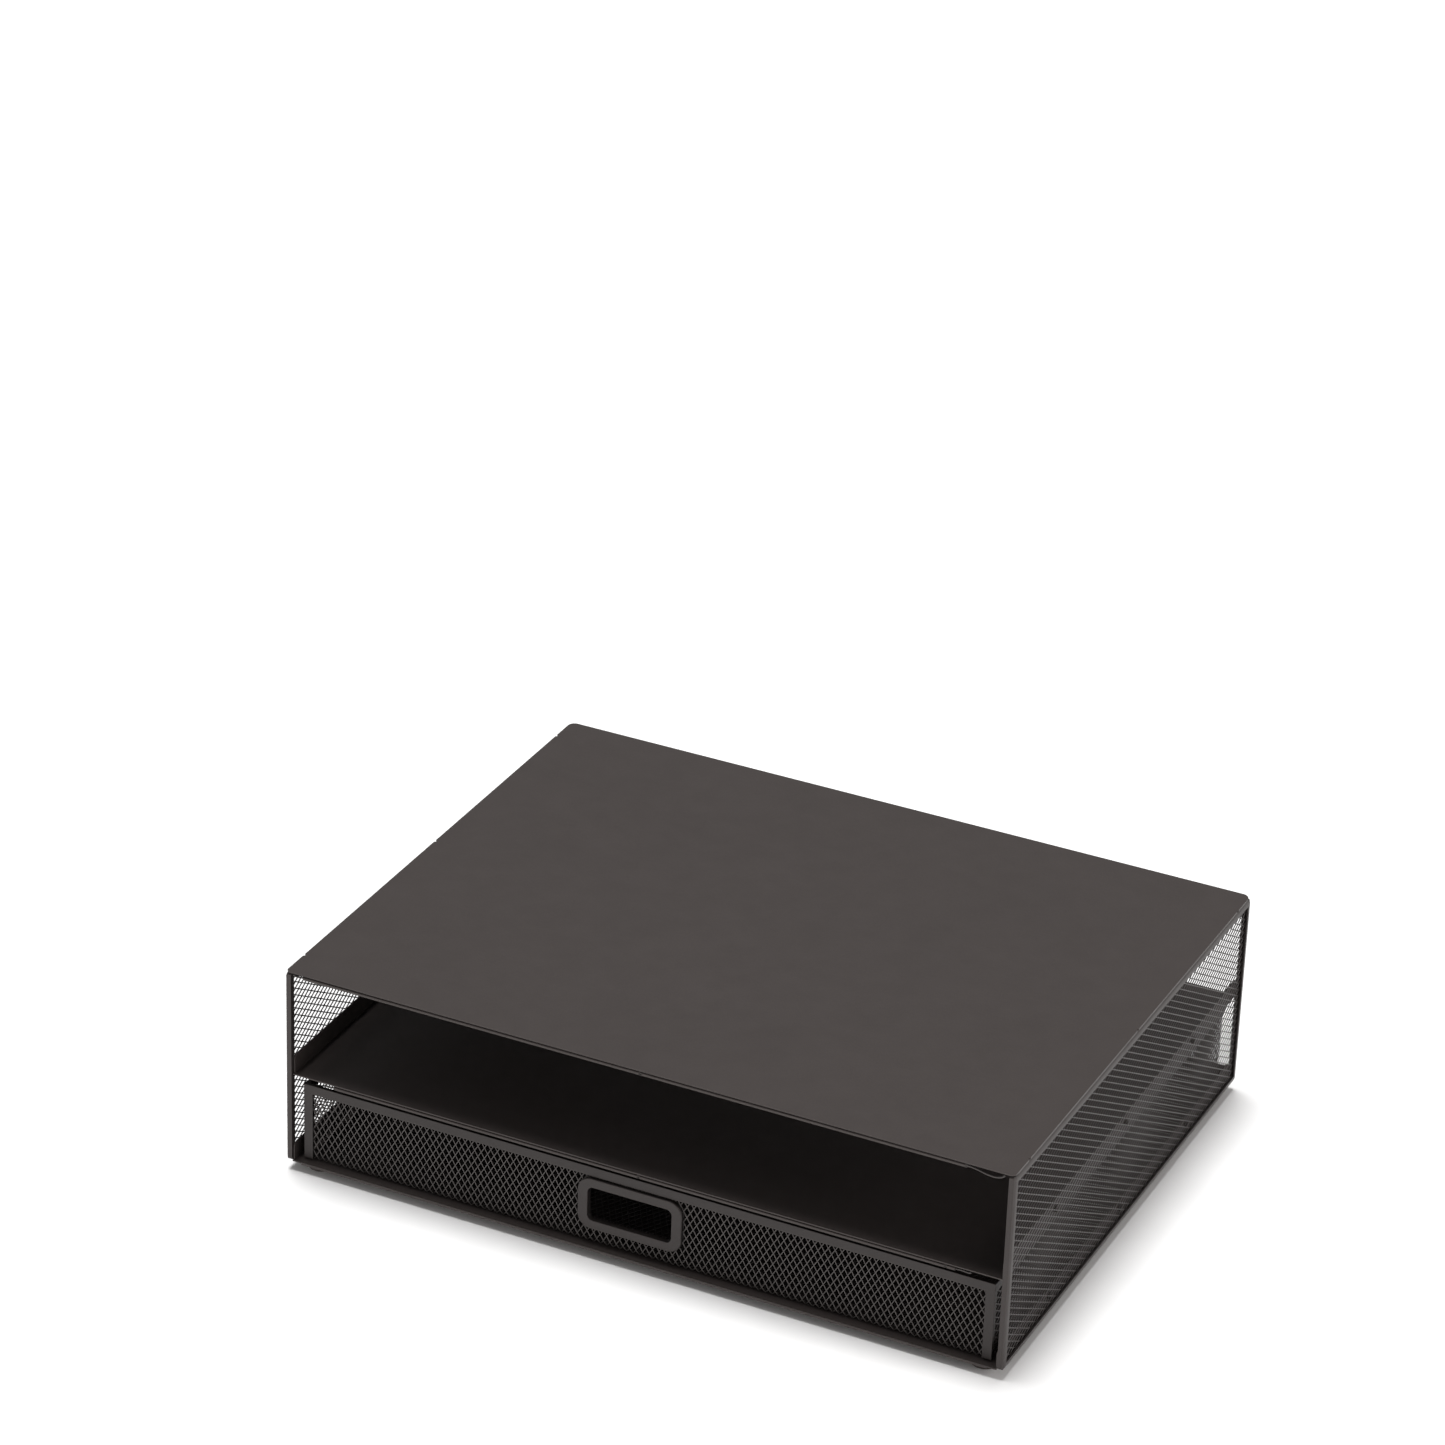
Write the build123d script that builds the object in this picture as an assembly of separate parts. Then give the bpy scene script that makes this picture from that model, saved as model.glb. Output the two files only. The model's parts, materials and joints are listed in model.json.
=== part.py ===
from build123d import *
import os

# Monitor riser stand: a sheet-steel and expanded-mesh cabinet with an open shelf
# above one sliding mesh drawer. Units are millimetres. The origin is the centre of
# the footprint on the table, +X to the right, -Y to the front, +Z up.

# ---- Driving dimensions ----------------------------------------------------
overall_width = 386.0
overall_depth = 300.0
overall_height = 113.0
foot_height = 4.3              # gap between the table and the lowest metal
sheet = 0.6                    # sheet steel of the top, shelf and floor
shelf_top = 55.1               # upper face of the shelf
drawer_recess = 4.0            # drawer front behind the cabinet front
drawer_width = 370.0
drawer_top = 49.1

half_width = overall_width / 2
half_depth = overall_depth / 2

# ---- Side frames: mesh held in four folded, mitred strips -------------------
strip_face = 3.2               # how far a strip reaches over the mesh
strip_wall = 0.6
side_mesh_thickness = 0.9
side_mesh_recess = 1.0         # mesh behind the outer face of its strips
strip_flare = 0.2              # the outer leg of a strip leans outward by this much
strip_round = 1.0              # the fold's outer corner: its reach over the mesh side
strip_round_depth = 0.7        # and its depth across the strip
side_thickness = 3.4
side_corner_radius = 1.6
mesh_clearance = 0.3           # mesh edge to the bottom of its fold

side_lift = 1.2                # side frames end above the floor's front lip
side_bottom = foot_height + side_lift
side_top = overall_height - 2 * sheet
side_height = side_top - side_bottom
side_middle = (side_top + side_bottom) / 2
side_inner_x = half_width - side_thickness
side_mesh_x = half_width - side_mesh_recess - side_mesh_thickness

# ---- Rolled edges of the sheets ---------------------------------------------
bead_radius = 1.0
bead_bore = 0.6
wire_radius = 0.45
edge_groove = 0.7              # gap between a sheet and the rolled bead below it
bead_setback = 0.2             # bead behind the sheet's front edge
notch_size = 1.6
floor_bead_radius = 0.55
floor_bead_sink = 0.1          # how far the floor's front bead is sunk into its sheet
floor_bead_gap = 5.0           # bead ends this far inside the side flanges

# ---- Top panel ----------------------------------------------------------------
top_edge_x = half_width - 0.6
top_front_radius = 2.5
top_rear_radius = 4.0
top_hem_width = 8.0
top_bead_left = -183.6
top_bead_right = 168.2
top_side_notches = (-132.4, 0.0, 132.4)

# ---- Shelf and floor ------------------------------------------------------------
flange_clearance = 0.3         # flange to the inner leg of the side strips
flange_x = side_inner_x - flange_clearance
flange_radius = 3.0
shelf_front_y = -half_depth + 1.0
shelf_rear_y = half_depth - 1.0
shelf_flange_height = 10.2
shelf_bead_left = -167.0
shelf_bead_right = 165.0
floor_bottom = foot_height + 2 * floor_bead_radius - floor_bead_sink
floor_top = floor_bottom + sheet
floor_front_y = -half_depth
floor_rear_y = half_depth
floor_flange_height = 9.5
floor_rear_lip = 6.0
flange_end = 1.0               # flange ends behind the sheet's front edge

# ---- Spot welds, stops and feet ---------------------------------------------------
weld_radius = 2.0
weld_positions = (-88.0, 0.0, 88.0)
floor_weld_z = side_bottom + strip_face + weld_radius + 0.5   # just above the bottom rail
stop_tab_x = 120.0
stop_tab_width = 12.0
stop_tab_thickness = 0.8
shelf_stop_y = -52.0
stop_gap = 0.6                 # stop tabs clear the rims and beads they pass by this much
foot_radius = 7.5
foot_chamfer = 0.8
foot_x = 179.0
foot_y = 138.5

# ---- Drawer -------------------------------------------------------------------------
drawer_half = drawer_width / 2
drawer_mesh = 0.8
drawer_bottom = floor_top + 0.4
drawer_front_y = -half_depth + drawer_recess
drawer_rear_y = half_depth - 2.5
front_strip_face = 4.9
front_strip_leg = 0.55
front_strip_thickness = drawer_mesh + 2 * front_strip_leg
front_mesh_y = drawer_front_y + front_strip_leg
front_inner_y = drawer_front_y + front_strip_thickness
rim_height = 5.0
rim_thickness = 1.8
rim_leg = (rim_thickness - drawer_mesh) / 2

# ---- Handle: bezel round a finger opening in the drawer front --------------------------
handle_x = -5.0
handle_z = 29.1
handle_width = 56.0
handle_height = 28.6
handle_radius = 7.4
opening_width = 45.0
opening_height = 18.6
opening_radius = 3.0
bezel_depth = 1.8
bezel_edge = 0.8
collar_wall = 0.8
collar_clearance = 0.3
back_ring_thickness = 0.8


def block(x0, x1, y0, y1, z0, z1):
    """A box given by its limits along X, Y and Z."""
    size = Box(x1 - x0, y1 - y0, z1 - z0)
    return Pos((x0 + x1) / 2, (y0 + y1) / 2, (z0 + z1) / 2) * size


def mirrored(shape):
    """The same shape on the other side of the cabinet."""
    return mirror(shape, about=Plane.YZ)


def both_sides(shape):
    """A shape together with its mirror image."""
    return shape + mirrored(shape)


# ---- Side frames ------------------------------------------------------------------

def side_section(inset, x):
    """The side's outline, pulled in by inset, in the upright plane at x."""
    outline = RectangleRounded(
        overall_depth - 2 * inset, side_height - 2 * inset, side_corner_radius
    )
    return Plane.YZ.offset(x) * Pos(0, side_middle) * outline


def side_ring():
    """One side's folded edging as a closed ring, before the mitres are cut."""
    flare_x = half_width - strip_flare
    round_x = flare_x - strip_round_depth
    core = extrude(side_section(0, side_inner_x), round_x - side_inner_x)
    sections = [
        side_section(0, round_x),
        side_section(strip_round, flare_x),
        side_section(strip_face, half_width),
    ]
    outer_leg = loft(sections, ruled=True)
    window = extrude(side_section(strip_face, side_inner_x), side_thickness)
    slot = block(
        side_mesh_x, side_mesh_x + side_mesh_thickness,
        -half_depth + strip_wall, half_depth - strip_wall,
        side_bottom + strip_wall, side_top - strip_wall,
    )
    return core + outer_leg - window - slot


def mitred_piece(ring, edge):
    """The part of the ring along one edge, cut at 45 degrees at both ends."""
    near, far = half_depth, half_depth - strip_face
    low, high = side_bottom, side_top
    low_in, high_in = low + strip_face, high - strip_face
    corners = {
        "front": [(-near, low), (-near, high), (-far, high_in), (-far, low_in)],
        "rear": [(near, low), (near, high), (far, high_in), (far, low_in)],
        "top": [(-near, high), (near, high), (far, high_in), (-far, high_in)],
        "bottom": [(-near, low), (near, low), (far, low_in), (-far, low_in)],
    }[edge]
    face = make_face(Polyline(*corners, close=True))
    cutter = extrude(Plane.YZ.offset(side_inner_x) * face, side_thickness)
    return ring & cutter


def side_mesh():
    """Expanded mesh of one side, held in the folds of the four strips."""
    inset = strip_wall + mesh_clearance
    return block(
        side_mesh_x, side_mesh_x + side_mesh_thickness,
        -half_depth + inset, half_depth - inset,
        side_bottom + inset, side_top - inset,
    )


# ---- Sheets and their rolled edges ----------------------------------------------------

def bead_centre(front_y, base):
    """(y, z) of the bead under the front edge of a sheet whose lower face is at base."""
    return front_y + bead_setback + bead_radius, base - edge_groove - bead_radius


def rolled_edges(x0, x1, front_y, base):
    """Hollow beads under the front and rear edges of a sheet, each hung from a short web."""
    y, z = bead_centre(front_y, base)
    section = Circle(bead_radius) - Circle(bead_bore)
    tube = extrude(Plane.YZ.offset(x0) * Pos(y, z) * section, x1 - x0)
    web = block(x0, x1, y, y + sheet, z + bead_bore, base)
    rolled = tube + web
    return rolled + Rot(0, 0, 180) * rolled


def edge_notch(x, y, z):
    """A small V-shaped cutter for the crimp marks in a rolled edge."""
    return Pos(x, y, z) * Rot(0, 0, 45) * Box(notch_size, notch_size, 2 * bead_radius)


def edge_wire(y, z, left, right, dip, reach, rise):
    """Stiffening wire in a rolled edge; its bare ends dip and curl up at the corners."""
    middle = Line((left, y, z), (right, y, z))
    right_end = Spline(
        (right, y, z), (right + 0.55 * reach, y, z - dip), (right + reach, y, z + rise),
        tangents=[(1, 0, 0), (0.6, 0, 1)],
    )
    left_reach = min(reach, 5.0)
    left_end = Spline(
        (left - left_reach, y, z + rise), (left, y, z),
        tangents=[(0.6, 0, -1), (1, 0, 0)],
    )
    path = Wire([left_end, middle, right_end])
    start = Plane(origin=path @ 0, z_dir=path % 0)
    return sweep(start * Circle(wire_radius), path=path)


def front_and_rear_wires(front_y, base, left, right, dip, reach, rise):
    """The same wire in the front and the rear bead of a sheet."""
    y, z = bead_centre(front_y, base)
    wire = edge_wire(y, z, left, right, dip, reach, rise)
    return wire + Rot(0, 0, 180) * wire


def top_panel():
    """Top sheet: rolled front and rear edges, side edges folded under."""
    base = overall_height - sheet
    outline = Rectangle(2 * top_edge_x, overall_depth)
    corners = outline.vertices().group_by(Axis.Y)
    outline = fillet(corners[0], top_front_radius)
    outline = fillet(outline.vertices().group_by(Axis.Y)[-1], top_rear_radius)
    panel = extrude(Pos(0, 0, base) * outline, sheet)
    hem = block(
        top_edge_x - top_hem_width, top_edge_x,
        -half_depth + top_rear_radius, half_depth - top_rear_radius,
        side_top, base,
    )
    panel += both_sides(hem)
    panel += rolled_edges(top_bead_left, top_bead_right, -half_depth, base)
    bead_z = bead_centre(-half_depth, base)[1]
    for x in (top_bead_left, 0.0, top_bead_right):
        panel -= edge_notch(x, -half_depth, bead_z)
    for y in top_side_notches:
        notch = edge_notch(top_edge_x, y, overall_height)
        panel -= both_sides(notch)
    return panel


def top_edge_wires():
    """Wires in the front and rear edges of the top."""
    return front_and_rear_wires(
        -half_depth, overall_height - sheet, top_bead_left, top_bead_right,
        dip=1.7, reach=19.0, rise=0.5,
    )


def side_flanges(front_y, rear_y, base, height):
    """Upturned side flanges of a sheet, with rounded upper corners."""
    flange = block(flange_x - sheet, flange_x, front_y, rear_y, base, base + height)
    upper = flange.edges().filter_by(Axis.X).group_by(Axis.Z)[-1]
    return both_sides(fillet(upper, flange_radius))


def shelf_panel():
    """Shelf sheet: rolled front and rear edges, side flanges welded to the side mesh."""
    base = shelf_top - sheet
    panel = block(-flange_x, flange_x, shelf_front_y, shelf_rear_y, base, shelf_top)
    panel += side_flanges(
        shelf_front_y + flange_end, shelf_rear_y - flange_end, base,
        shelf_flange_height + sheet,
    )
    panel += rolled_edges(shelf_bead_left, shelf_bead_right, shelf_front_y, base)
    bead_z = bead_centre(shelf_front_y, base)[1]
    for x in (shelf_bead_left, 0.0, shelf_bead_right - 3 * notch_size):
        panel -= edge_notch(x, shelf_front_y, bead_z)
    return panel


def shelf_edge_wires():
    """Wires in the front and rear edges of the shelf."""
    return front_and_rear_wires(
        shelf_front_y, shelf_top - sheet, shelf_bead_left, shelf_bead_right,
        dip=0.0, reach=8.0, rise=0.4,
    )


def floor_panel():
    """Floor sheet that carries the drawer, with a rear lip that stops it when shut."""
    panel = block(-flange_x, flange_x, floor_front_y, floor_rear_y, floor_bottom, floor_top)
    panel += side_flanges(
        floor_front_y + flange_end, floor_rear_y - flange_end, floor_bottom,
        floor_flange_height + sheet,
    )
    rear_lip = block(
        -flange_x + flange_end, flange_x - flange_end,
        floor_rear_y - sheet, floor_rear_y, floor_bottom, floor_top + floor_rear_lip,
    )
    bead_y = floor_front_y + floor_bead_radius
    bead_z = floor_bottom + floor_bead_sink - floor_bead_radius
    bead_end = flange_x - floor_bead_gap
    section = Circle(floor_bead_radius)
    rolled = extrude(Plane.YZ.offset(-bead_end) * Pos(bead_y, bead_z) * section, 2 * bead_end)
    return panel + rear_lip + rolled


def spot_welds(z):
    """Weld spots that join one sheet's side flanges to the side mesh."""
    spots = Part()
    for y in weld_positions:
        face = Plane.YZ.offset(flange_x) * Pos(y, z) * Circle(weld_radius)
        spots += extrude(face, side_mesh_x - flange_x)
    return both_sides(spots)


def shelf_stop_tabs():
    """Tabs under the shelf that stop the drawer before it falls out."""
    tab = block(
        stop_tab_x - stop_tab_width / 2, stop_tab_x + stop_tab_width / 2,
        shelf_stop_y, shelf_stop_y + stop_tab_thickness,
        drawer_top + stop_gap, shelf_top - sheet,
    )
    return both_sides(tab)


def foot(x, y):
    """Round pad stuck under the floor sheet."""
    pad = extrude(Pos(x, y) * Circle(foot_radius), floor_bottom)
    return chamfer(pad.edges().group_by(Axis.Z)[0], foot_chamfer)


# ---- Drawer -------------------------------------------------------------------------------

def ring_face(width, height, radius, y):
    """A rounded rectangle centred on the handle, in the upright plane at y, facing -Y."""
    plane = Plane(origin=(handle_x, y, handle_z), x_dir=(1, 0, 0), z_dir=(0, -1, 0))
    return plane * RectangleRounded(width, height, radius)


def rounded_prism(width, height, radius, y0, y1):
    """A rounded rectangle centred on the handle, running from y0 back to y1."""
    return extrude(ring_face(width, height, radius, y1), y1 - y0)


def drawer_front_mesh():
    """Expanded mesh of the drawer front, with the hole for the handle collar."""
    clearance = front_strip_leg + mesh_clearance
    plate = block(
        -drawer_half + clearance, drawer_half - clearance,
        front_mesh_y, front_mesh_y + drawer_mesh,
        drawer_bottom, drawer_top - clearance,
    )
    margin = 2 * (collar_wall + collar_clearance)
    hole = rounded_prism(
        opening_width + margin, opening_height + margin, opening_radius + collar_wall,
        drawer_front_y, front_inner_y,
    )
    return plate - hole


def front_strip_ring():
    """Folded edging on both sides and along the top of the drawer front."""
    ring = block(
        -drawer_half, drawer_half, drawer_front_y, front_inner_y,
        drawer_bottom + drawer_mesh, drawer_top,
    )
    ring -= block(
        -drawer_half + front_strip_face, drawer_half - front_strip_face,
        drawer_front_y, front_inner_y, drawer_bottom, drawer_top - front_strip_face,
    )
    ring -= block(
        -drawer_half + front_strip_leg, drawer_half - front_strip_leg,
        front_mesh_y, front_mesh_y + drawer_mesh, drawer_bottom, drawer_top - front_strip_leg,
    )
    front_edges = ring.edges().filter_by(Axis.Y, reverse=True)
    outer = [
        edge for edge in front_edges
        if abs(edge.center().Y - drawer_front_y) < 0.01
        and (abs(edge.center().Z - drawer_top) < 0.01 or abs(edge.center().X) > drawer_half - 0.01)
    ]
    return fillet(outer, front_strip_leg / 2)


def front_strip(ring, edge):
    """The top, left or right strip of the drawer front, mitred at the upper corners."""
    out, low, high = drawer_half, drawer_bottom, drawer_top
    in_x, in_z = out - front_strip_face, high - front_strip_face
    corners = {
        "top": [(-out, high), (out, high), (in_x, in_z), (-in_x, in_z)],
        "left": [(-out, low), (-out, high), (-in_x, in_z), (-in_x, low)],
        "right": [(out, low), (out, high), (in_x, in_z), (in_x, low)],
    }[edge]
    upright = Plane(origin=(0, front_inner_y, 0), x_dir=(1, 0, 0), z_dir=(0, -1, 0))
    face = make_face(Polyline(*corners, close=True))
    return ring & extrude(upright * face, front_strip_thickness)


def handle_bezel():
    """Raised ring round the finger opening, with a collar through the mesh."""
    front_y = front_mesh_y - bezel_depth
    ring = rounded_prism(handle_width, handle_height, handle_radius, front_y, front_mesh_y)
    rim = ring.edges().group_by(Axis.Y)[0]
    ring = fillet(rim, bezel_edge)
    collar = rounded_prism(
        opening_width + 2 * collar_wall, opening_height + 2 * collar_wall,
        opening_radius + collar_wall, front_mesh_y,
        front_mesh_y + drawer_mesh + back_ring_thickness + collar_clearance,
    )
    opening = rounded_prism(
        opening_width, opening_height, opening_radius, front_y - 1, front_inner_y + 2
    )
    return ring + collar - opening


def handle_back_ring():
    """Flat ring behind the mesh that clamps it to the bezel."""
    front_y = front_mesh_y + drawer_mesh
    ring = rounded_prism(
        handle_width, handle_height, handle_radius, front_y, front_y + back_ring_thickness
    )
    margin = 2 * (collar_wall + collar_clearance)
    hole = rounded_prism(
        opening_width + margin, opening_height + margin, opening_radius + collar_wall,
        front_y - 1, front_y + 2,
    )
    return ring - hole


def drawer_floor_mesh():
    """Expanded mesh bottom of the drawer."""
    side = drawer_half - rim_leg
    return block(
        -side, side, front_mesh_y + drawer_mesh, drawer_rear_y - rim_leg,
        drawer_bottom, drawer_bottom + drawer_mesh,
    )


def drawer_side_mesh():
    """Expanded mesh wall on the right of the drawer."""
    outer = drawer_half - rim_leg
    return block(
        outer - drawer_mesh, outer, front_inner_y, drawer_rear_y - rim_leg,
        drawer_bottom + drawer_mesh, drawer_top - rim_leg - mesh_clearance,
    )


def drawer_rear_mesh():
    """Expanded mesh wall at the back of the drawer."""
    side = drawer_half - rim_leg - drawer_mesh
    outer = drawer_rear_y - rim_leg
    return block(
        -side, side, outer - drawer_mesh, outer,
        drawer_bottom + drawer_mesh, drawer_top - rim_leg - mesh_clearance,
    )


def rim_ring():
    """Folded edging along the top of the drawer's sides and back, before the mitres."""
    low = drawer_top - rim_height
    ring = block(-drawer_half, drawer_half, front_inner_y, drawer_rear_y, low, drawer_top)
    inner = drawer_half - rim_thickness
    ring -= block(-inner, inner, front_inner_y, drawer_rear_y - rim_thickness, low, drawer_top)
    slot_out = drawer_half - rim_leg
    slot_in = slot_out - drawer_mesh
    slot_top = drawer_top - rim_leg
    slot = block(-slot_out, slot_out, front_inner_y, drawer_rear_y - rim_leg, low, slot_top)
    slot -= block(
        -slot_in, slot_in, front_inner_y, drawer_rear_y - rim_leg - drawer_mesh, low, slot_top
    )
    return ring - slot


def rim_piece(ring, edge):
    """The left, right or rear piece of the drawer rim, mitred at the rear corners."""
    out, rear, front = drawer_half, drawer_rear_y, front_inner_y
    in_x, in_y = out - rim_thickness, rear - rim_thickness
    corners = {
        "left": [(-out, front), (-out, rear), (-in_x, in_y), (-in_x, front)],
        "right": [(out, front), (out, rear), (in_x, in_y), (in_x, front)],
        "rear": [(-out, rear), (out, rear), (in_x, in_y), (-in_x, in_y)],
    }[edge]
    face = make_face(Polyline(*corners, close=True))
    return ring & extrude(Pos(0, 0, drawer_top - rim_height) * face, rim_height)


def drawer_stop_tabs():
    """Tabs on the drawer's rear rim that pass under the shelf's beads and meet its tabs."""
    top = shelf_top - sheet - edge_groove - 2 * bead_radius - stop_gap
    tab = block(
        stop_tab_x - stop_tab_width / 2, stop_tab_x + stop_tab_width / 2,
        drawer_rear_y - stop_tab_thickness, drawer_rear_y,
        drawer_top, top,
    )
    return both_sides(tab)


# ---- Assembly ------------------------------------------------------------------------------

nodes = {
    "top_panel": top_panel(),
    "top_edge_wires": top_edge_wires(),
    "shelf_panel": shelf_panel(),
    "shelf_edge_wires": shelf_edge_wires(),
    "floor_panel": floor_panel(),
    "shelf_spot_welds": spot_welds(shelf_top + shelf_flange_height / 2),
    "floor_spot_welds": spot_welds(floor_weld_z),
    "shelf_stop_tabs": shelf_stop_tabs(),
}

ring = side_ring()
side_parts = {
    "front_post": mitred_piece(ring, "front"),
    "rear_post": mitred_piece(ring, "rear"),
    "top_rail": mitred_piece(ring, "top"),
    "bottom_rail": mitred_piece(ring, "bottom"),
    "side_mesh": side_mesh(),
}
for name, shape in side_parts.items():
    nodes["right_" + name] = shape
    nodes["left_" + name] = mirrored(shape)

for end, y in (("front", -foot_y), ("rear", foot_y)):
    nodes["foot_" + end + "_left"] = foot(-foot_x, y)
    nodes["foot_" + end + "_right"] = foot(foot_x, y)

front_ring = front_strip_ring()
for edge in ("top", "left", "right"):
    nodes["drawer_front_" + edge + "_strip"] = front_strip(front_ring, edge)

drawer_rim = rim_ring()
for edge in ("left", "right", "rear"):
    nodes["drawer_" + edge + "_rim"] = rim_piece(drawer_rim, edge)

nodes["drawer_front_mesh"] = drawer_front_mesh()
nodes["drawer_floor_mesh"] = drawer_floor_mesh()
nodes["drawer_right_mesh"] = drawer_side_mesh()
nodes["drawer_left_mesh"] = mirrored(drawer_side_mesh())
nodes["drawer_rear_mesh"] = drawer_rear_mesh()
nodes["drawer_stop_tabs"] = drawer_stop_tabs()
nodes["handle_bezel"] = handle_bezel()
nodes["handle_back_ring"] = handle_back_ring()

os.makedirs("parts", exist_ok=True)
for name, shape in nodes.items():
    export_step(shape, "parts/" + name + ".step")
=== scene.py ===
"""Looks of the monitor riser stand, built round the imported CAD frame. Metres, in the row frame."""
import json
import math
from collections import namedtuple

import bpy
from mathutils import Matrix, Vector

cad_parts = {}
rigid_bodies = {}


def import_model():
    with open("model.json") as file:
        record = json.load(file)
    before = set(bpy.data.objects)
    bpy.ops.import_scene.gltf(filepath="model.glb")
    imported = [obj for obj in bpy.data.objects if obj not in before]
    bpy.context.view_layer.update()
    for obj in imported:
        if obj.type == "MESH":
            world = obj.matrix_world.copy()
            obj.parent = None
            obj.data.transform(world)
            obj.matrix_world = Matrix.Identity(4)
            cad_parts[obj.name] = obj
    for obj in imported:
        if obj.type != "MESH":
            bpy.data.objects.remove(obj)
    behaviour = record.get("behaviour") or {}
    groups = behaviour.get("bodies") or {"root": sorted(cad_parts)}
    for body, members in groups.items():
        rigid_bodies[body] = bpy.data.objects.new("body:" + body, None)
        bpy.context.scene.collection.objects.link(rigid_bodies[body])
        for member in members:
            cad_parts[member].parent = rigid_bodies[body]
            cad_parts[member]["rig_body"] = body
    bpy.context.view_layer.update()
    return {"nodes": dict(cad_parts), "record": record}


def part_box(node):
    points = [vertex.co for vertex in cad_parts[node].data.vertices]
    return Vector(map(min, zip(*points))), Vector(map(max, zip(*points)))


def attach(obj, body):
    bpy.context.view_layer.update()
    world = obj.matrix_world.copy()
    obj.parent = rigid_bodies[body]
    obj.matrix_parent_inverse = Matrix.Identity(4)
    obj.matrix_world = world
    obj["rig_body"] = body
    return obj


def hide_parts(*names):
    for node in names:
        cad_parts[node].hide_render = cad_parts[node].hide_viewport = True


MM = 0.001

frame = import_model()
nodes = frame["nodes"]


# ---- Procedural materials ------------------------------------------------------------

NOISE_LOW, NOISE_HIGH = 0.3, 0.7       # the range in which nearly all noise values lie

WARM_SHEEN = (1.0, 0.93, 0.91, 1.0)    # tint of the powder coat's reflections
COAT_ROUGHNESS = (0.45, 0.5)
CLOUD_SIZE = 55 * MM
CLOUD_CONTRAST = 0.03
SPECKLE_SIZE = 0.8 * MM
SPECKLE_DARK = (0.72, 0.72, 0.72)
SPECKLE_LIGHT = (1.25, 1.24, 1.23)
SPECKLE_AMOUNT = 0.3
SHEEN_SIZE = 12 * MM
ORANGE_PEEL_SIZE = 1.6 * MM
ORANGE_PEEL_DEPTH = 0.06 * MM
GRAIN_DEPTH = 0.03 * MM
COAT_BUMP = 0.25

RUBBER_ROUGHNESS = (0.72, 0.9)
DUST_SIZE = 3 * MM
DUST_DARK, DUST_LIGHT = 0.8, 1.35
RUBBER_SHEEN_SIZE = 2 * MM
RUBBER_GRAIN = 0.35 * MM
RUBBER_GRAIN_DEPTH = 0.08 * MM
RUBBER_BUMP = 0.5

PAPER_DARK, PAPER_LIGHT = (0.87, 0.87, 0.87), (0.89, 0.89, 0.89)
PAPER_ROUGHNESS = (0.85, 0.95)
PAPER_FIBRES = 30 * MM
PAPER_SHEEN_SIZE = 8 * MM
PAPER_GRAIN = 1.5 * MM
PAPER_GRAIN_DEPTH = 0.02 * MM
PAPER_BUMP = 0.05


def new_material(name):
    """A material with its node tree and its main shader."""
    material = bpy.data.materials.new(name)
    material.use_nodes = True
    tree = material.node_tree
    return material, tree, tree.nodes["Principled BSDF"]


def object_coordinates(tree):
    """Coordinates in the row frame, in metres."""
    return tree.nodes.new("ShaderNodeTexCoord").outputs["Object"]


def noise(tree, coordinates, size, detail=2.0):
    """Noise whose blotches are about size metres across."""
    node = tree.nodes.new("ShaderNodeTexNoise")
    node.inputs["Scale"].default_value = 1 / size
    node.inputs["Detail"].default_value = detail
    tree.links.new(coordinates, node.inputs["Vector"])
    return node.outputs["Fac"]


def spread_values(tree, value, low, high):
    """Maps a noise value to the range low to high."""
    node = tree.nodes.new("ShaderNodeMapRange")
    node.inputs["From Min"].default_value = NOISE_LOW
    node.inputs["From Max"].default_value = NOISE_HIGH
    node.inputs["To Min"].default_value = low
    node.inputs["To Max"].default_value = high
    tree.links.new(value, node.inputs["Value"])
    return node.outputs["Result"]


def colour_mix(tree):
    """A mix node for colours, with its two colour inputs and its colour output."""
    node = tree.nodes.new("ShaderNodeMix")
    node.data_type = "RGBA"
    return node, node.inputs[6], node.inputs[7], node.outputs[2]


def blend_colours(tree, factor, first, second):
    """Blends two plain colours by a noise value."""
    node, first_input, second_input, result = colour_mix(tree)
    tree.links.new(factor, node.inputs["Factor"])
    first_input.default_value = (*first, 1)
    second_input.default_value = (*second, 1)
    return result


def multiply_colours(tree, colour, tint, amount):
    """Multiplies a colour by a tint, by the given amount."""
    node, colour_input, tint_input, result = colour_mix(tree)
    node.blend_type = "MULTIPLY"
    node.inputs["Factor"].default_value = amount
    tree.links.new(colour, colour_input)
    tree.links.new(tint, tint_input)
    return result


def shade(colour, amount):
    """A colour made lighter or darker by a factor."""
    return tuple(channel * amount for channel in colour)


def add_bumps(tree, shader, layers):
    """Stacks bump layers of (height socket, strength, distance) and feeds the shader's normal."""
    normal = None
    for height, strength, distance in layers:
        bump = tree.nodes.new("ShaderNodeBump")
        bump.inputs["Strength"].default_value = strength
        bump.inputs["Distance"].default_value = distance
        tree.links.new(height, bump.inputs["Height"])
        if normal is not None:
            tree.links.new(normal, bump.inputs["Normal"])
        normal = bump.outputs["Normal"]
    tree.links.new(normal, shader.inputs["Normal"])


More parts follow.
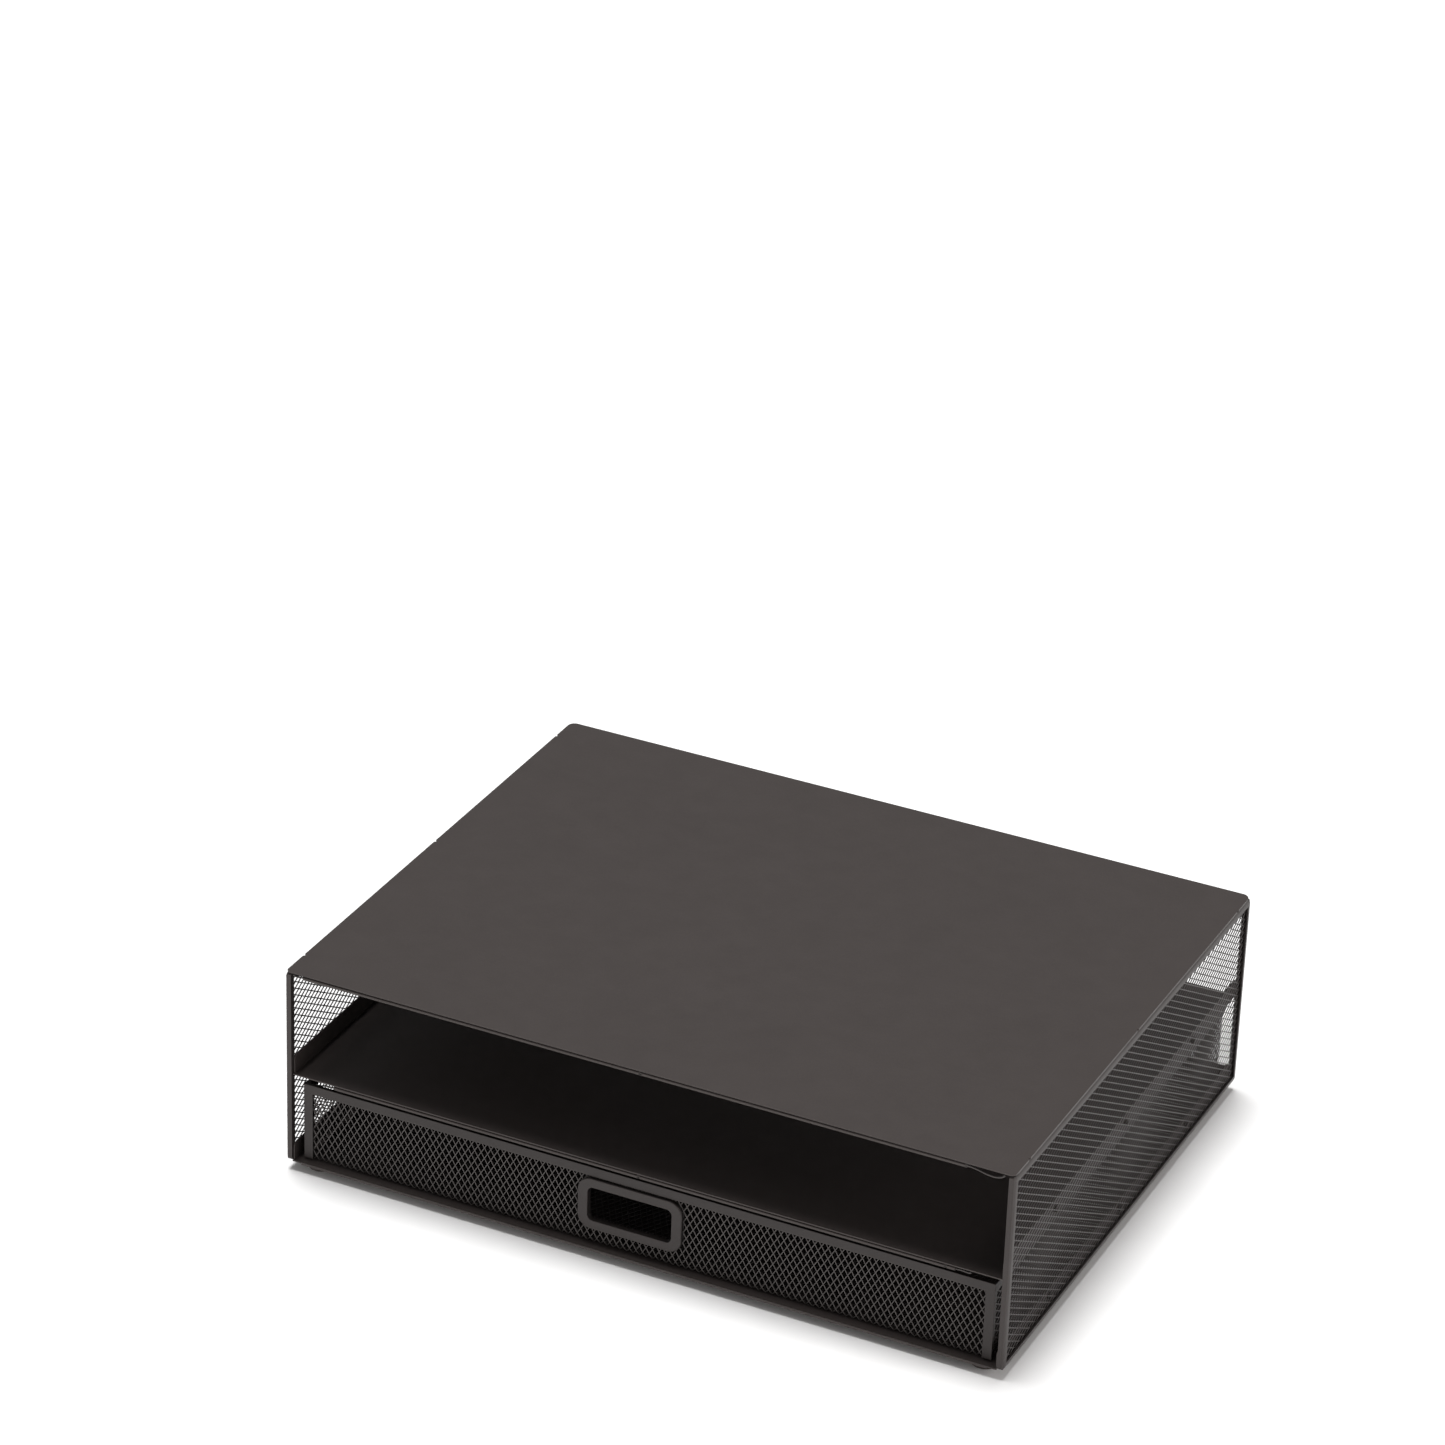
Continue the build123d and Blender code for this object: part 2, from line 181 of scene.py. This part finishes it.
def powder_coat(name, colour, grain=0.45 * MM):
    """Satin powder coat: cloudy colour, fine speckle, uneven sheen and orange peel."""
    material, tree, shader = new_material(name)
    coordinates = object_coordinates(tree)
    clouds = spread_values(tree, noise(tree, coordinates, CLOUD_SIZE, detail=4), 0, 1)
    speckle = spread_values(tree, noise(tree, coordinates, SPECKLE_SIZE, detail=3), 0, 1)
    darker, lighter = shade(colour, 1 - CLOUD_CONTRAST), shade(colour, 1 + CLOUD_CONTRAST)
    cloudy = blend_colours(tree, clouds, darker, lighter)
    grey = blend_colours(tree, speckle, SPECKLE_DARK, SPECKLE_LIGHT)
    speckled = multiply_colours(tree, cloudy, grey, SPECKLE_AMOUNT)
    tree.links.new(speckled, shader.inputs["Base Color"])
    sheen = spread_values(tree, noise(tree, coordinates, SHEEN_SIZE, detail=5), *COAT_ROUGHNESS)
    tree.links.new(sheen, shader.inputs["Roughness"])
    shader.inputs["Specular Tint"].default_value = WARM_SHEEN
    orange_peel = noise(tree, coordinates, ORANGE_PEEL_SIZE, detail=1)
    fine = noise(tree, coordinates, grain, detail=2)
    layers = [(orange_peel, COAT_BUMP, ORANGE_PEEL_DEPTH), (fine, COAT_BUMP, GRAIN_DEPTH)]
    add_bumps(tree, shader, layers)
    return material


def rubber(name, colour):
    """Matte rubber of the pads: dusty, with a fine moulded texture."""
    material, tree, shader = new_material(name)
    coordinates = object_coordinates(tree)
    dust = spread_values(tree, noise(tree, coordinates, DUST_SIZE, detail=6), 0, 1)
    dusty = blend_colours(tree, dust, shade(colour, DUST_DARK), shade(colour, DUST_LIGHT))
    tree.links.new(dusty, shader.inputs["Base Color"])
    blotches = noise(tree, coordinates, RUBBER_SHEEN_SIZE, detail=3)
    tree.links.new(spread_values(tree, blotches, *RUBBER_ROUGHNESS), shader.inputs["Roughness"])
    texture = noise(tree, coordinates, RUBBER_GRAIN, detail=3)
    add_bumps(tree, shader, [(texture, RUBBER_BUMP, RUBBER_GRAIN_DEPTH)])
    return material


def floor_paper(name):
    """Pale seamless paper under the stand."""
    material, tree, shader = new_material(name)
    coordinates = object_coordinates(tree)
    fibres = spread_values(tree, noise(tree, coordinates, PAPER_FIBRES, detail=6), 0, 1)
    paper = blend_colours(tree, fibres, PAPER_DARK, PAPER_LIGHT)
    tree.links.new(paper, shader.inputs["Base Color"])
    blotches = noise(tree, coordinates, PAPER_SHEEN_SIZE, detail=4)
    tree.links.new(spread_values(tree, blotches, *PAPER_ROUGHNESS), shader.inputs["Roughness"])
    texture = noise(tree, coordinates, PAPER_GRAIN)
    add_bumps(tree, shader, [(texture, PAPER_BUMP, PAPER_GRAIN_DEPTH)])
    return material


# All these parts wear one black powder coat. The side mesh's copy and the drawer strips' copy are made
# darker than the rest to match how dark those parts look under the lights: painted shade.
SLOT_MATERIALS = {
    "sheet_steel": powder_coat("sheet_powder_coat", (0.031, 0.0255, 0.0240)),
    "edge_wire": powder_coat("wire_powder_coat", (0.045, 0.041, 0.040), grain=0.25 * MM),
    "folded_strip": powder_coat("strip_powder_coat", (0.0215, 0.0176, 0.0166), grain=0.35 * MM),
    # darker copy of the coat: painted shade
    "side_mesh": powder_coat("side_mesh_coat_painted_shade", (0.0180, 0.0146, 0.0138), grain=0.25 * MM),
    "drawer_mesh": powder_coat("drawer_mesh_powder_coat", (0.0250, 0.0222, 0.0212), grain=0.25 * MM),
    # much darker copy of the coat: painted shade
    "drawer_strip": powder_coat("drawer_strip_coat_painted_shade", (0.0105, 0.0087, 0.0082), grain=0.35 * MM),
    "handle": powder_coat("handle_powder_coat", (0.0140, 0.0116, 0.0110), grain=0.3 * MM),
    "foot_pad": rubber("foot_rubber", (0.035, 0.028, 0.025)),
}


# ---- CAD nodes that are shown as they are ----------------------------------------------

def dress(node, slot):
    """Gives a CAD node its finish."""
    material = SLOT_MATERIALS[slot]
    if not node.material_slots:
        node.data.materials.append(material)
    for material_slot in node.material_slots:
        material_slot.link = "OBJECT"
        material_slot.material = material


EDGE_ROUNDING = {"folded_strip": 0.4 * MM, "drawer_strip": 0.25 * MM, "handle": 0.3 * MM}
COAT_ROUNDING = 0.18 * MM      # where the coat alone rounds an edge
SHARP_ANGLE = 40               # degrees; edges that turn less than this stay as they are
WELD_DISTANCE = 0.001 * MM


def soften_edges(node, width):
    """Rounds a part's sharp edges and shades it smoothly."""
    weld = node.modifiers.new("weld", "WELD")
    weld.merge_threshold = WELD_DISTANCE
    bevel = node.modifiers.new("rounded_edges", "BEVEL")
    bevel.width = width
    bevel.segments = 3
    bevel.limit_method = "ANGLE"
    bevel.angle_limit = math.radians(SHARP_ANGLE)
    bevel.use_clamp_overlap = True
    normals = node.modifiers.new("even_shading", "WEIGHTED_NORMAL")
    normals.keep_sharp = False


for row in frame["record"]["subparts"]:
    slot = row["material_slot"]
    dress(nodes[row["node"]], slot)
    soften_edges(nodes[row["node"]], EDGE_ROUNDING.get(slot, COAT_ROUNDING))


# ---- Expanded metal -----------------------------------------------------------------------

# One kind of expanded metal: the pitches of its diamonds, half the length and half the width
# of the bonds between them, and the thickness of the metal.
Stock = namedtuple("Stock", "long_pitch short_pitch bond_long bond_short metal")

SIDE_STOCK = Stock(6.25 * MM, 3.65 * MM, 0.55 * MM, 0.30 * MM, 0.30 * MM)
SIDE_LEAN = 0.15 * MM
DRAWER_STOCK = Stock(5.9 * MM, 3.53 * MM, 0.55 * MM, 0.32 * MM, 0.35 * MM)
DRAWER_LEAN = -0.08 * MM


def whole_steps(length, pitch):
    """The even number of half pitches nearest to a length, and the pitch that fits it."""
    steps = 2 * round(length / pitch)
    return steps, 2 * length / steps


class Lattice:
    """A stock fitted to a sheet: bonds on every other point of a grid of half pitches.

    s runs the long way of the diamonds, c the short way and w through the sheet.
    """

    def __init__(self, stock, length, width, lean):
        self.rows, long_pitch = whole_steps(length, stock.long_pitch)
        self.columns, short_pitch = whole_steps(width, stock.short_pitch)
        self.long_step = long_pitch / 2
        self.short_step = short_pitch / 2
        self.stock = stock
        self.lean = lean

    def corner(self, i, j, k):
        """Corner k of the bond at (i, j): right, top, left, bottom, leaning out at the top."""
        across = (self.stock.bond_long, 0, -self.stock.bond_long, 0)[k]
        up = (0, self.stock.bond_short, 0, -self.stock.bond_short)[k]
        out = (0, self.lean, 0, -self.lean)[k]
        return i * self.long_step + across, j * self.short_step + up, out


def expanded_sheet(name, lattice, place, rows=None, kept=None, runs_on=False):
    """A closed mesh of the lattice's bonds and strands, in all its rows or from first to last.

    place(s, c, w) gives the point in space. kept(s, c) says which bonds exist. With runs_on
    the strands leave the last row for the next sheet and end there.
    """
    first, last = rows or (0, lattice.rows)
    vertices, faces, index = [], [], {}

    def pair(i, j, k):
        """The outer and inner vertex at one corner of a bond."""
        if (i, j, k) not in index:
            s, c, w = lattice.corner(i, j, k)
            index[i, j, k] = len(vertices)
            vertices.append(place(s, c, w + lattice.stock.metal / 2))
            vertices.append(place(s, c, w - lattice.stock.metal / 2))
        return index[i, j, k]

    def plate(corners):
        """An outer and an inner face through the same corners."""
        faces.append(list(corners))
        faces.append([corner + 1 for corner in reversed(corners)])

    def wall(a, b):
        """The edge wall from corner a to corner b, with the metal on its left."""
        faces.append([a, a + 1, b + 1, b])

    def ends_open(point):
        """True where a strand runs on past the last row, to a bond of the next sheet."""
        i, j = point
        return runs_on and i == last + 1 and 0 <= j <= lattice.columns

    bonds = set()
    for i in range(first, last + 1):
        for j in range(i % 2, lattice.columns + 1, 2):
            if kept is None or kept(i * lattice.long_step, j * lattice.short_step):
                bonds.add((i, j))

    for i, j in sorted(bonds):
        plate([pair(i, j, k) for k in range(4)])
        for side, (di, dj) in enumerate(((1, 1), (-1, 1), (-1, -1), (1, -1))):
            other = (i + di, j + dj)
            if other in bonds or ends_open(other):
                continue
            wall(pair(i, j, side), pair(i, j, (side + 1) % 4))
        for dj, (a, b, c, d) in ((1, (0, 3, 2, 1)), (-1, (3, 2, 1, 0))):
            other = (i + 1, j + dj)
            if other not in bonds and not ends_open(other):
                continue
            start, far = pair(i, j, a), pair(*other, b)
            far_top, back = pair(*other, c), pair(i, j, d)
            plate([start, far, far_top, back])
            wall(start, far)
            wall(far_top, back)
            if other not in bonds:
                wall(far, far_top)

    mesh = bpy.data.meshes.new(name)
    mesh.from_pydata(vertices, [], faces)
    mesh.validate()
    sheet = bpy.data.objects.new(name, mesh)
    bpy.context.scene.collection.objects.link(sheet)
    return sheet


def stand_in(piece, node_name, slot):
    """Puts a piece in place of a CAD node, on the same body and with that slot's finish."""
    piece.data.materials.append(SLOT_MATERIALS[slot])
    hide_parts(node_name)
    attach(piece, nodes[node_name]["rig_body"])


# ---- Upright sheets in the sides of the cabinet and the drawer ---------------------------------

DRAWER_REAR_GAP = 0.4 * MM     # the drawer's side sheets end this far before the rear sheet


def upright_sheet(name, node_name, slot, sign, stock, lean, rear_gap=0):
    """An expanded sheet in a side plane, with its diamonds along the depth."""
    low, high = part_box(node_name)
    middle = (low.x + high.x) / 2
    length = high.y - low.y - 2 * stock.bond_long - rear_gap
    height = high.z - low.z - 2 * stock.bond_short

    def place(s, c, w):
        """The point s behind the front edge, c above the lower edge and w outward."""
        return middle + sign * w, low.y + stock.bond_long + s, low.z + stock.bond_short + c

    sheet = expanded_sheet(name, Lattice(stock, length, height, lean), place)
    if sign < 0:
        sheet.data.flip_normals()
    stand_in(sheet, node_name, slot)


# Both cabinet sides are cut from one stock, so their strands lean the same way in space.
for side, sign in (("right", 1), ("left", -1)):
    upright_sheet(
        side + "_expanded_side", side + "_side_mesh", "side_mesh", sign, SIDE_STOCK, -sign * SIDE_LEAN
    )


# ---- Drawer sheets: one folded blank, front, floor and rear ------------------------------------

FOLD_RADIUS = 0.8 * MM
ROWS_PAST_FOLD = 2
BEZEL_TO_MESH = 4.6 * MM       # the mesh starts this far inside the bezel's outline

front_low, front_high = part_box("drawer_front_mesh")
floor_low, floor_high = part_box("drawer_floor_mesh")
rear_low, rear_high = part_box("drawer_rear_mesh")
bezel_low, bezel_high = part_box("handle_bezel")


class FoldedPath:
    """The blank's middle line: down the front, back along the floor and up the rear."""

    def __init__(self):
        self.front_y = (front_low.y + front_high.y) / 2
        self.rear_y = (rear_low.y + rear_high.y) / 2
        self.floor_z = (floor_low.z + floor_high.z) / 2
        self.top_z = front_high.z - DRAWER_STOCK.bond_long
        self.down = self.top_z - self.floor_z - FOLD_RADIUS
        self.arc = FOLD_RADIUS * math.pi / 2
        self.along = self.rear_y - self.front_y - 2 * FOLD_RADIUS
        self.up = rear_high.z - DRAWER_STOCK.bond_long - self.floor_z - FOLD_RADIUS
        self.length = self.down + self.arc + self.along + self.arc + self.up

    def point(self, s, w):
        """(y, z) at distance s along the blank and w outward from its middle."""
        bend_z = self.floor_z + FOLD_RADIUS
        if s < self.down:
            return self.front_y - w, self.top_z - s
        s -= self.down
        if s < self.arc:
            angle = s / FOLD_RADIUS
            reach = FOLD_RADIUS + w
            centre_y = self.front_y + FOLD_RADIUS
            return centre_y - reach * math.cos(angle), bend_z - reach * math.sin(angle)
        s -= self.arc
        if s < self.along:
            return self.front_y + FOLD_RADIUS + s, self.floor_z - w
        s -= self.along
        if s < self.arc:
            angle = s / FOLD_RADIUS
            reach = FOLD_RADIUS + w
            centre_y = self.rear_y - FOLD_RADIUS
            return centre_y + reach * math.sin(angle), bend_z - reach * math.cos(angle)
        return self.rear_y + w, bend_z + s - self.arc


path = FoldedPath()
blank_width = front_high.x - front_low.x - 2 * DRAWER_STOCK.bond_short
blank = Lattice(DRAWER_STOCK, path.length, blank_width, DRAWER_LEAN)


def blank_point(s, c, w):
    """A point of the folded drawer blank, with w outward."""
    y, z = path.point(s, w)
    return -blank_width / 2 + c, y, z


def clear_of_collar(s, c):
    """True for bonds of the front that are outside the hole for the handle's collar."""
    x, y, z = blank_point(s, c, 0)
    across = BEZEL_TO_MESH - DRAWER_STOCK.bond_short
    along = BEZEL_TO_MESH - DRAWER_STOCK.bond_long
    beside = x < bezel_low.x + across or x > bezel_high.x - across
    above_or_below = z < bezel_low.z + along or z > bezel_high.z - along
    return beside or above_or_below


def drawer_blank():
    """The three sheets of the folded blank, parted two rows past each fold."""
    front_end = math.ceil((path.down + path.arc) / blank.long_step) + ROWS_PAST_FOLD
    rear_start = math.floor((path.down + path.arc + path.along) / blank.long_step) - ROWS_PAST_FOLD
    sheets = {
        "front": expanded_sheet(
            "drawer_expanded_front", blank, blank_point, rows=(0, front_end),
            kept=clear_of_collar, runs_on=True,
        ),
        "floor": expanded_sheet(
            "drawer_expanded_floor", blank, blank_point, rows=(front_end + 1, rear_start),
            runs_on=True,
        ),
        "rear": expanded_sheet(
            "drawer_expanded_rear", blank, blank_point, rows=(rear_start + 1, blank.rows)
        ),
    }
    for place, sheet in sheets.items():
        stand_in(sheet, "drawer_" + place + "_mesh", "drawer_mesh")


drawer_blank()
for side, sign in (("right", 1), ("left", -1)):
    upright_sheet(
        "drawer_expanded_" + side, "drawer_" + side + "_mesh", "drawer_mesh", sign,
        DRAWER_STOCK, DRAWER_LEAN, DRAWER_REAR_GAP,
    )


# ---- Floor, light and camera ---------------------------------------------------------------------

FLOOR_REACH = 6.0                      # metres from the stand to the edge of the floor
WARM_WHITE = (1.0, 0.95, 0.925)        # colour of the softboxes
SOFTBOX_AIM = Vector((0, 0, 0.05))
OVERHEAD_DISTANCE = 3.0
SENSOR_WIDTH = 36                      # of the camera, in millimetres


def direction(azimuth, elevation):
    """Unit vector towards an azimuth, measured from the front to the right, and an elevation."""
    around, above = math.radians(azimuth), math.radians(elevation)
    return Vector((
        math.sin(around) * math.cos(above),
        -math.cos(around) * math.cos(above),
        math.sin(above),
    ))


def pale_floor():
    """A large pale sheet that the stand rests on."""
    mesh = bpy.data.meshes.new("floor_sheet")
    turns = ((-1, -1), (1, -1), (1, 1), (-1, 1))
    corners = [(x * FLOOR_REACH, y * FLOOR_REACH, 0) for x, y in turns]
    mesh.from_pydata(corners, [], [(0, 1, 2, 3)])
    mesh.materials.append(floor_paper("floor_paper"))
    floor = bpy.data.objects.new("floor_sheet", mesh)
    bpy.context.scene.collection.objects.link(floor)


def place_light(name, lamp, aim, towards, distance):
    """Puts a lamp at a distance from its aim, towards a direction, and turns it to the aim."""
    light = bpy.data.objects.new(name, lamp)
    light.location = aim + towards * distance
    light.rotation_euler = (-towards).to_track_quat("-Z", "Y").to_euler()
    bpy.context.scene.collection.objects.link(light)


def soft_light(name, azimuth, elevation, distance, size, power):
    """A square softbox seen at an azimuth and elevation from the stand, in degrees."""
    lamp = bpy.data.lights.new(name, "AREA")
    lamp.shape = "SQUARE"
    lamp.size = size
    lamp.energy = power
    lamp.color = WARM_WHITE
    place_light(name, lamp, SOFTBOX_AIM, direction(azimuth, elevation), distance)


def overhead_light(azimuth, elevation, spread, strength):
    """A wide, even source high above the stand, which whitens the floor and casts a short shadow."""
    lamp = bpy.data.lights.new("overhead", "SUN")
    lamp.angle = math.radians(spread)
    lamp.energy = strength
    towards = direction(azimuth, elevation)
    place_light("overhead", lamp, Vector((0, 0, 0)), towards, OVERHEAD_DISTANCE)


def surroundings(strength):
    """Even white light from all round."""
    world = bpy.data.worlds.new("studio")
    world.use_nodes = True
    background = world.node_tree.nodes["Background"]
    background.inputs["Color"].default_value = (1, 1, 1, 1)
    background.inputs["Strength"].default_value = strength
    bpy.context.scene.world = world


def studio():
    """White surroundings, an overhead source and softboxes at the right and the front."""
    surroundings(strength=0.24)
    overhead_light(azimuth=-115, elevation=83, spread=24, strength=3.5)
    soft_light("right_side", azimuth=85, elevation=22, distance=2.0, size=1.0, power=14)
    soft_light("front", azimuth=-15, elevation=10, distance=2.4, size=1.0, power=13)
    bpy.context.scene.view_settings.view_transform = "Standard"


def camera_view(azimuth, elevation, roll, distance, aim, lens):
    """A camera at an azimuth and elevation round the aim point, rolled about its own axis."""
    back = direction(azimuth, elevation)
    level_right = Vector((-back.y, back.x, 0)).normalized()
    level_up = back.cross(level_right)
    tilt = math.radians(roll)
    right = level_right * math.cos(tilt) + level_up * math.sin(tilt)
    up = back.cross(right)
    camera = bpy.data.objects.new("camera", bpy.data.cameras.new("camera"))
    camera.data.sensor_width = SENSOR_WIDTH
    camera.data.lens = lens
    camera.data.clip_start = 0.05
    camera.data.clip_end = 50
    axes = Matrix((right, up, back)).transposed()
    camera.matrix_world = Matrix.Translation(aim + back * distance) @ axes.to_4x4()
    bpy.context.scene.collection.objects.link(camera)
    bpy.context.scene.camera = camera


pale_floor()
studio()
camera_view(
    azimuth=25.136, elevation=27.405, roll=1.998, distance=2.6835,
    aim=Vector((-0.0673, 0.0716, 0.1802)), lens=132.8,
)
